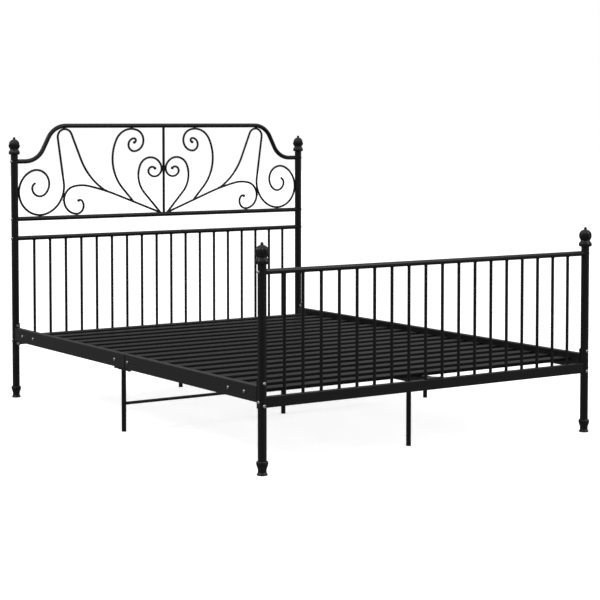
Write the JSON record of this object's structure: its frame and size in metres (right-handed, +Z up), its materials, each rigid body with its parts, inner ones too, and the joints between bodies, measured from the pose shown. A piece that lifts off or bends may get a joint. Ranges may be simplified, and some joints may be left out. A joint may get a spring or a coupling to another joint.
{
  "type": "metal bed frame",
  "caption": "Metal double bed frame: scrolled arched headboard, spindle footboard, ball finials, and a slatted deck between bolted side rails on legs.",
  "frame": {"origin": "on the floor under the middle of the bed", "axes": "+Z up, +Y towards the headboard, +X to the right seen from the foot end"},
  "size_m": [1.5822, 2.1192, 1.235],
  "materials": {
    "black_powder_coat": "satin black powder coat",
    "grey_powder_coat": "satin charcoal powder coat",
    "black_plastic": "moulded black plastic",
    "cap_plastic": "moulded black plastic",
    "zinc_steel": "zinc plated"
  },
  "bodies": {
    "root": {"foot_left_post": "black_powder_coat", "foot_left_finial": "black_plastic", "foot_left_foot": "black_plastic", "foot_right_post": "black_powder_coat", "foot_right_finial": "black_plastic", "foot_right_foot": "black_plastic", "foot_bottom_rail": "black_powder_coat", "foot_spindles": "black_powder_coat", "head_left_post": "black_powder_coat", "head_left_finial": "black_plastic", "head_left_foot": "black_plastic", "head_right_post": "black_powder_coat", "head_right_finial": "black_plastic", "head_right_foot": "black_plastic", "head_bottom_rail": "black_powder_coat", "head_spindles": "black_powder_coat", "head_top_rail": "black_powder_coat", "head_upper_rail": "black_powder_coat", "head_lower_rail": "black_powder_coat", "foot_top_rail": "black_powder_coat", "head_centre_bar": "black_powder_coat", "outer_scroll_left": "black_powder_coat", "outer_scroll_right": "black_powder_coat", "lower_scroll_left": "black_powder_coat", "lower_scroll_right": "black_powder_coat", "upper_scroll_left": "black_powder_coat", "upper_scroll_right": "black_powder_coat", "heart_scroll_left": "black_powder_coat", "heart_scroll_right": "black_powder_coat", "side_rail_foot_left": "black_powder_coat", "saddle_foot_left": "black_powder_coat", "side_rail_head_left": "black_powder_coat", "saddle_head_left": "black_powder_coat", "joint_plate_left": "black_powder_coat", "middle_leg_left": "black_powder_coat", "side_rail_foot_right": "black_powder_coat", "saddle_foot_right": "black_powder_coat", "side_rail_head_right": "black_powder_coat", "saddle_head_right": "black_powder_coat", "joint_plate_right": "black_powder_coat", "middle_leg_right": "black_powder_coat", "crossbar": "black_powder_coat", "slats": "grey_powder_coat", "slat_caps": "cap_plastic", "centre_beam": "black_powder_coat", "centre_leg_foot": "black_powder_coat", "centre_leg_middle": "black_powder_coat", "centre_leg_head": "black_powder_coat", "leg_caps": "cap_plastic", "beam_bracket_foot": "black_powder_coat", "beam_bracket_head": "black_powder_coat", "frame_bolts": "zinc_steel", "frame_nuts": "zinc_steel", "cross_rail_bolts": "zinc_steel", "slat_bolts": "zinc_steel", "beam_bolts": "zinc_steel", "joint_bolts": "zinc_steel", "beam_barrels": "black_powder_coat"}
  },
  "joints": []
}
